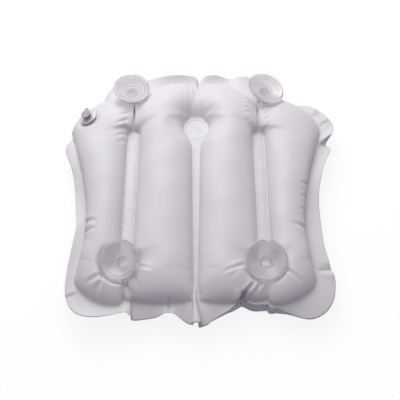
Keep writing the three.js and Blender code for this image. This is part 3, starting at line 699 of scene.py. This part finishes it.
def place_front(points):
    """The front sheet mirrors the back one both ways; on the flange the two lie together."""
    turned = points.reshape(COLUMNS, ROWS, 3)[::-1].reshape(-1, 3) * (-1, 1, -1)
    placed = np.concatenate([turned, front_rings.reshape(-1, 3)])
    placed[:, 2] = np.maximum(0, placed[:, 2] + WELD_Z - WELD_GAP / 2 - SHEET)
    return pinched(placed)


def wrinkle(points, start, end, half_width, depth):
    """Depth of a wrinkle at each point: a groove between two low ridges, which fades out to its end."""
    start, end = np.array(start), np.array(end)
    run = end - start
    share = np.clip((points[:, :2] - start) @ run / (run @ run), 0, 1)
    nearest = start + share[:, None] * run
    offset = np.hypot(*(points[:, :2] - nearest).T)
    fade = smoothstep(share / WRINKLE_START) * (1 - share) ** WRINKLE_FADE
    ridges = WRINKLE_RIDGE * hump(offset - WRINKLE_RIDGE_AT * half_width, WRINKLE_RIDGE_WIDTH * half_width)
    return depth * (hump(offset, half_width) - ridges) * fade


def pleat(points, start, end, step):
    """Height that a pleat gives: a step across its line, which dies away on both sides and at its ends."""
    start, end = np.array(start), np.array(end)
    run = end - start
    length = np.hypot(*run)
    offset = points[:, :2] - start
    share = offset @ run / length ** 2
    to_left = (run[0] * offset[:, 1] - run[1] * offset[:, 0]) / length
    fade = smoothstep(share / PLEAT_START) * smoothstep((PLEAT_END - share) / PLEAT_END_FADE)
    return step * np.tanh(to_left / PLEAT_EDGE) * np.exp(-np.abs(to_left) / PLEAT_REACH) * fade


def weld_relief(points):
    """Height of the marks that the welding tool leaves."""
    height = np.zeros(len(points))
    along = (smoothstep((points[:, 1] - STRIP_START_Y) / STRIP_FADE)
             * smoothstep((SEAM_TOP_Y - STRIP_END_GAP - points[:, 1]) / STRIP_FADE))
    for middle in (-SEAM_X, SEAM_X):
        across = points[:, 0] - middle
        strip = sum(mark * hump(across - at, width) for at, width, mark in STRIP_MARKS)
        ticks = TICK_HEIGHT * hump(across - TICK_AT, TICK_WIDTH) * np.sin(points[:, 1] / TICK_LENGTH)
        height += along * (strip + ticks)
    bead_radius = CENTRE_DISC_RADIUS - DISC_BEAD_INSET
    from_bead = np.hypot(points[:, 0], points[:, 1] - CENTRE_DISC_Y) - bead_radius
    return height + DISC_BEAD_HEIGHT * hump(from_bead, DISC_BEAD_WIDTH)


def unevenness(points):
    """Slow waves that blown-up vinyl has, less than a millimetre high."""
    x, y = points[:, 0], points[:, 1]
    broad, slanting, crossing = WAVE_HEIGHTS
    (broad_x, broad_y), (slant_x, slant_y), (cross_x, cross_y) = WAVE_LENGTHS
    return (broad * np.sin(x / broad_x + WAVE_SHIFT_X) * np.sin(y / broad_y + WAVE_SHIFT_Y)
            + slanting * np.sin(x / slant_x + y / slant_y)
            + crossing * np.sin(y / cross_y - x / cross_x))


def subdivide(obj, levels):
    smooth = obj.modifiers.new("smooth", "SUBSURF")
    smooth.levels = levels
    smooth.render_levels = levels
    apply_modifiers(obj)


def thicken(obj):
    thickness = obj.modifiers.new("thickness", "SOLIDIFY")
    thickness.thickness = SHEET * MM
    thickness.offset = -1
    apply_modifiers(obj)


def punch(obj, x, y, radius):
    """Cuts a round hole through a sheet and draws the cut edge to a circle."""
    middle = Vector((x, y)) * MM
    cut = bmesh.new()
    cut.from_mesh(obj.data)
    inside = {v for v in cut.verts if (v.co.xy - middle).length < radius * MM}
    bmesh.ops.delete(cut, geom=list(inside), context="VERTS")
    for vert in cut.verts:
        offset = vert.co.xy - middle
        if vert.is_boundary and offset.length < (radius + CUT_REACH) * MM:
            vert.co.xy = middle + offset.normalized() * radius * MM
    cut.to_mesh(obj.data)
    cut.free()


def displace(obj, height):
    """Moves each point along its normal by a height in millimetres."""
    mesh = obj.data
    normals = np.empty(3 * len(mesh.vertices))
    mesh.vertex_normals.foreach_get("vector", normals)
    set_points(mesh, mesh_points(mesh) + normals.reshape(-1, 3) * height[:, None])


def vinyl_sheet(name, points, polygons, levels, wrinkles, side):
    """One sheet with its relief and holes.

    Side is 1 for the back sheet and -1 for the front one, which faces down.
    """
    obj = mesh_object(name, points, polygons)
    weld_quads = weld_faces()
    for index, polygon in enumerate(obj.data.polygons):
        polygon.material_index = int(weld_quads[index])
    if levels:
        subdivide(obj, levels)
    at = mesh_points(obj.data)
    height = unevenness(at) * smoothstep((np.abs(at[:, 2] - WELD_Z) - WAVE_START) / WAVE_FADE)
    for item in wrinkles:
        height -= wrinkle(at, *item)
    for item in PLEATS:
        height += side * pleat(at, *item)
    displace(obj, height + weld_relief(at))
    set_points(obj.data, clear_of_cups(mesh_points(obj.data), side))
    for x, y, *_ in CUPS.values():
        punch(obj, x, y, STUD_HOLE_RADIUS if side > 0 else FRONT_HOLE_RADIUS)
    return obj


def seat_valve(obj):
    """Draws the sheet flat under the valve's base, and punches the valve's hole."""
    normal = np.array(next(j["axis"] for j in frame["joints"] if j["name"] == "valve_pull"))
    base = frame["nodes"]["valve_base"]
    corners = np.array([base.matrix_world @ v.co for v in base.data.vertices]) / MM
    middle = corners.mean(axis=0)

    def from_axis(points):
        offset = points - middle
        return np.linalg.norm(offset - np.outer(offset @ normal, normal), axis=1)

    rim = corners[from_axis(corners) > VALVE_FLANGE_RADIUS - VALVE_RIM_WIDTH]
    level = np.min(rim @ normal)
    points = mesh_points(obj.data)
    share = 1 - smoothstep((from_axis(points) - VALVE_FLANGE_RADIUS) / VALVE_SEAT_BLEND)
    seat_z = (level - points[:, :2] @ normal[:2]) / normal[2]
    points[:, 2] = lerp(points[:, 2], seat_z, share)
    set_points(obj.data, points)
    hole = middle + normal * (level - middle @ normal)
    punch(obj, hole[0], hole[1], VALVE_HOLE_RADIUS)


def weld_faces():
    """Which quads of a sheet lie wholly on a weld between tubes."""
    both = held[:-1] & held[1:]
    inside = both[:, :-1] & both[:, 1:]
    inside &= (on_weld[:-1] & on_weld[1:])[:, None]
    on_flange = np.zeros(len(faces) - inside.size, bool)
    return np.concatenate([inside.ravel(), on_flange])


back = vinyl_sheet("back_sheet", place_back(flat_points), faces, 1, WRINKLES, 1)
seat_valve(back)
front = vinyl_sheet("front_sheet", place_front(flat_points), [f[::-1] for f in faces], 0, [], -1)
for piece, node in ((back, "back_panel"), (front, "front_panel")):
    thicken(piece)
    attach(piece, "pillow_body")
    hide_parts(node)


# Suction cups
cups = []
for place, (x, y, *_) in CUPS.items():
    cup = mesh_object("cup_" + place, cup_points[place] + (x, y, WELD_Z), cup_quads)
    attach(cup, "cup_" + place)
    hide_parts("suction_cup_" + place)
    cups.append(cup)


# Materials. The patch positions are the levels of the noise at which each of two patch colours is full.
PATCH_POSITIONS = 0.3, 0.7


def material(name, colour, roughness):
    """Material with a plain Principled shader."""
    made = bpy.data.materials.new(name)
    made.use_nodes = True
    shader = made.node_tree.nodes["Principled BSDF"]
    shader.inputs["Base Color"].default_value = (*colour, 1)
    shader.inputs["Roughness"].default_value = roughness
    return made


def noise(tree, scale, detail=3):
    """Noise over the object's own place, in metres."""
    place = tree.nodes.new("ShaderNodeTexCoord")
    made = tree.nodes.new("ShaderNodeTexNoise")
    made.inputs["Scale"].default_value = scale
    made.inputs["Detail"].default_value = detail
    tree.links.new(place.outputs["Object"], made.inputs["Vector"])
    return made.outputs["Fac"]


def vary_colour(made, dark, light, scale):
    """Gives the material soft patches of two colours."""
    tree = made.node_tree
    ramp = tree.nodes.new("ShaderNodeValToRGB")
    for element, colour, position in zip(ramp.color_ramp.elements, (dark, light), PATCH_POSITIONS):
        element.position = position
        element.color = (*colour, 1)
    tree.links.new(noise(tree, scale), ramp.inputs["Fac"])
    tree.links.new(ramp.outputs["Color"], tree.nodes["Principled BSDF"].inputs["Base Color"])


def vary_roughness(made, low, high, scale):
    """Gives the material soft patches between two values of roughness."""
    tree = made.node_tree
    spread = tree.nodes.new("ShaderNodeMapRange")
    spread.inputs["To Min"].default_value = low
    spread.inputs["To Max"].default_value = high
    tree.links.new(noise(tree, scale), spread.inputs["Value"])
    tree.links.new(spread.outputs["Result"], tree.nodes["Principled BSDF"].inputs["Roughness"])


def add_bump(made, scale, distance, detail=3):
    """Gives the material a fine grain, whose height is in millimetres."""
    tree = made.node_tree
    bump = tree.nodes.new("ShaderNodeBump")
    bump.inputs["Distance"].default_value = distance * MM
    tree.links.new(noise(tree, scale, detail), bump.inputs["Height"])
    tree.links.new(bump.outputs["Normal"], tree.nodes["Principled BSDF"].inputs["Normal"])


vinyl = material("white_vinyl", (0.745, 0.724, 0.75), 0.42)
vary_colour(vinyl, (0.73, 0.709, 0.735), (0.76, 0.739, 0.765), 25)
vary_roughness(vinyl, 0.36, 0.5, 60)
add_bump(vinyl, 900, 0.08)

weld_vinyl = material("welded_vinyl", (0.725, 0.709, 0.733), 0.35)
vary_colour(weld_vinyl, (0.7, 0.684, 0.708), (0.75, 0.734, 0.758), 90)
vary_roughness(weld_vinyl, 0.28, 0.42, 120)
add_bump(weld_vinyl, 700, 0.15)

clear = material("clear_vinyl", (0.88, 0.845, 0.87), 0.13)
clear_shader = clear.node_tree.nodes["Principled BSDF"]
clear_shader.inputs["Transmission Weight"].default_value = 0.68
clear_shader.inputs["IOR"].default_value = 1.27
clear_shader.inputs["Coat Weight"].default_value = 0.5
clear_shader.inputs["Coat Roughness"].default_value = 0.06
vary_colour(clear, (0.84, 0.8, 0.83), (0.92, 0.89, 0.91), 40)
vary_roughness(clear, 0.1, 0.17, 80)
add_bump(clear, 250, 0.05)

smoky = material("valve_vinyl", (0.5, 0.465, 0.52), 0.14)
vary_colour(smoky, (0.44, 0.405, 0.46), (0.56, 0.525, 0.58), 120)
vary_roughness(smoky, 0.1, 0.22, 150)
add_bump(smoky, 600, 0.05)

base_vinyl = material("valve_base_vinyl", (0.72, 0.7, 0.72), 0.3)
vary_colour(base_vinyl, (0.7, 0.68, 0.7), (0.74, 0.72, 0.74), 120)
vary_roughness(base_vinyl, 0.24, 0.36, 150)
add_bump(base_vinyl, 600, 0.05)

for obj in (back, front):
    obj.data.materials.append(vinyl)
    obj.data.materials.append(weld_vinyl)
for cup in cups:
    cup.data.materials.append(clear)
NODE_LOOKS = {"back_panel": vinyl, "front_panel": vinyl, "valve_base": base_vinyl}
NODE_LOOKS.update({"suction_cup_" + place: clear for place in CUPS})
for name, node in frame["nodes"].items():
    node.data.materials.clear()
    node.data.materials.append(NODE_LOOKS.get(name, smoky))
    node.data.shade_smooth()


# Stage: white surroundings whose light comes mostly from above, a floor, a soft lamp and the camera. Places
# are in metres, apart from the floor's, which is a mesh. The floor is pale where it is seen and keeps the
# object's shadow; the light that it sends up to the object is that of a darker floor.
SKY_DIRECTION, SKY_FROM, SKY_TO = (-0.1, 0.46, 0.88), -0.2, 0.9
SKY_DIM, SKY_BRIGHT = (0.06, 0.036, 0.082), (0.63, 0.622, 0.64)
FLOOR_HALF, FLOOR_Z, FLOOR_ROUGHNESS = 20000, -0.5, 0.9
FLOOR_SEEN, FLOOR_BOUNCE = (0.9, 0.9, 0.9), (0.2, 0.16, 0.23)
FLOOR_WHITE_SHARE, FLOOR_WHITE_STRENGTH = 0.8, 1.08
KEY_PLACE, KEY_TARGET, KEY_SIZE, KEY_POWER = (-0.16, 0.55, 0.6), (0, 0.02, 0), 0.7, 3.8
CAMERA_TARGET, CAMERA_DISTANCE, CAMERA_ELEVATION = Vector((0.0052, -0.012, 0.01915)), 0.823, 60
CAMERA_LENS, CAMERA_SENSOR = 60.75, 36


def area_lamp(name, place, target, size, power):
    """Round lamp that looks at the target."""
    lamp = bpy.data.lights.new(name, "AREA")
    lamp.shape = "DISK"
    lamp.size = size
    lamp.energy = power
    obj = bpy.data.objects.new(name, lamp)
    obj.location = place
    obj.rotation_mode = "QUATERNION"
    obj.rotation_quaternion = (Vector(target) - Vector(place)).to_track_quat("-Z", "Y")
    bpy.context.scene.collection.objects.link(obj)


def seen_share(tree):
    """Socket that is 1 where the camera sees a surface, also in gloss and glass, and 0 for other light."""
    nodes, links = tree.nodes, tree.links
    path = nodes.new("ShaderNodeLightPath")
    direct = nodes.new("ShaderNodeMath")
    direct.operation = "MAXIMUM"
    links.new(path.outputs["Is Camera Ray"], direct.inputs[0])
    links.new(path.outputs["Is Transmission Ray"], direct.inputs[1])
    seen = nodes.new("ShaderNodeMath")
    seen.operation = "MAXIMUM"
    links.new(direct.outputs[0], seen.inputs[0])
    links.new(path.outputs["Is Glossy Ray"], seen.inputs[1])
    return seen.outputs[0]


def white_to_camera(tree, shader, white_kind, output, share=1, strength=1):
    """Shows white to the camera and in gloss and glass, by that share, and the shader to all other light."""
    nodes, links = tree.nodes, tree.links
    part = nodes.new("ShaderNodeMath")
    part.operation = "MULTIPLY"
    part.inputs[1].default_value = share
    links.new(seen_share(tree), part.inputs[0])
    white = nodes.new(white_kind)
    white.inputs["Color"].default_value = (1, 1, 1, 1)
    white.inputs["Strength"].default_value = strength
    mix = nodes.new("ShaderNodeMixShader")
    links.new(part.outputs[0], mix.inputs["Fac"])
    links.new(shader, mix.inputs[1])
    links.new(white.outputs[0], mix.inputs[2])
    links.new(mix.outputs[0], output.inputs["Surface"])


def surroundings():
    """World that is white where it is seen, and lights the object from a bright side to a dim one."""
    world = bpy.data.worlds.new("surroundings")
    world.use_nodes = True
    tree = world.node_tree
    ambient = tree.nodes["Background"]
    direction = tree.nodes.new("ShaderNodeTexCoord")
    toward_sky = tree.nodes.new("ShaderNodeVectorMath")
    toward_sky.operation = "DOT_PRODUCT"
    toward_sky.inputs[1].default_value = SKY_DIRECTION
    tree.links.new(direction.outputs["Generated"], toward_sky.inputs[0])
    height = tree.nodes.new("ShaderNodeMapRange")
    height.interpolation_type = "SMOOTHSTEP"
    height.inputs["From Min"].default_value = SKY_FROM
    height.inputs["From Max"].default_value = SKY_TO
    tree.links.new(toward_sky.outputs["Value"], height.inputs["Value"])
    sky = tree.nodes.new("ShaderNodeValToRGB")
    sky.color_ramp.elements[0].color = (*SKY_DIM, 1)
    sky.color_ramp.elements[1].color = (*SKY_BRIGHT, 1)
    tree.links.new(height.outputs["Result"], sky.inputs["Fac"])
    tree.links.new(sky.outputs["Color"], ambient.inputs["Color"])
    white_to_camera(tree, ambient.outputs[0], "ShaderNodeBackground", tree.nodes["World Output"])
    return world


def pale_floor():
    """Level floor just under the pillow."""
    corners = [(-FLOOR_HALF, -FLOOR_HALF, FLOOR_Z), (FLOOR_HALF, -FLOOR_HALF, FLOOR_Z),
               (FLOOR_HALF, FLOOR_HALF, FLOOR_Z), (-FLOOR_HALF, FLOOR_HALF, FLOOR_Z)]
    made = mesh_object("floor", corners, [(0, 1, 2, 3)])
    paint = material("floor", FLOOR_SEEN, FLOOR_ROUGHNESS)
    made.data.materials.append(paint)
    tree = paint.node_tree
    shader = tree.nodes["Principled BSDF"]
    colour = tree.nodes.new("ShaderNodeValToRGB")
    colour.color_ramp.elements[0].color = (*FLOOR_BOUNCE, 1)
    colour.color_ramp.elements[1].color = (*FLOOR_SEEN, 1)
    tree.links.new(seen_share(tree), colour.inputs["Fac"])
    tree.links.new(colour.outputs["Color"], shader.inputs["Base Color"])
    white_to_camera(tree, shader.outputs[0], "ShaderNodeEmission", tree.nodes["Material Output"],
                    FLOOR_WHITE_SHARE, FLOOR_WHITE_STRENGTH)
    return made


def photo_camera():
    """Camera at the photograph's viewing angle, above the pillow's bottom edge."""
    camera = bpy.data.cameras.new("camera")
    camera.sensor_width = CAMERA_SENSOR
    camera.lens = CAMERA_LENS
    made = bpy.data.objects.new("camera", camera)
    elevation = math.radians(CAMERA_ELEVATION)
    to_camera = Vector((0, -math.cos(elevation), math.sin(elevation)))
    made.location = CAMERA_TARGET + CAMERA_DISTANCE * to_camera
    made.rotation_mode = "QUATERNION"
    made.rotation_quaternion = (-to_camera).to_track_quat("-Z", "Y")
    bpy.context.scene.collection.objects.link(made)
    return made


scene = bpy.context.scene
scene.view_settings.view_transform = "Standard"
scene.world = surroundings()
floor = pale_floor()
area_lamp("key", KEY_PLACE, KEY_TARGET, KEY_SIZE, KEY_POWER)
scene.camera = photo_camera()
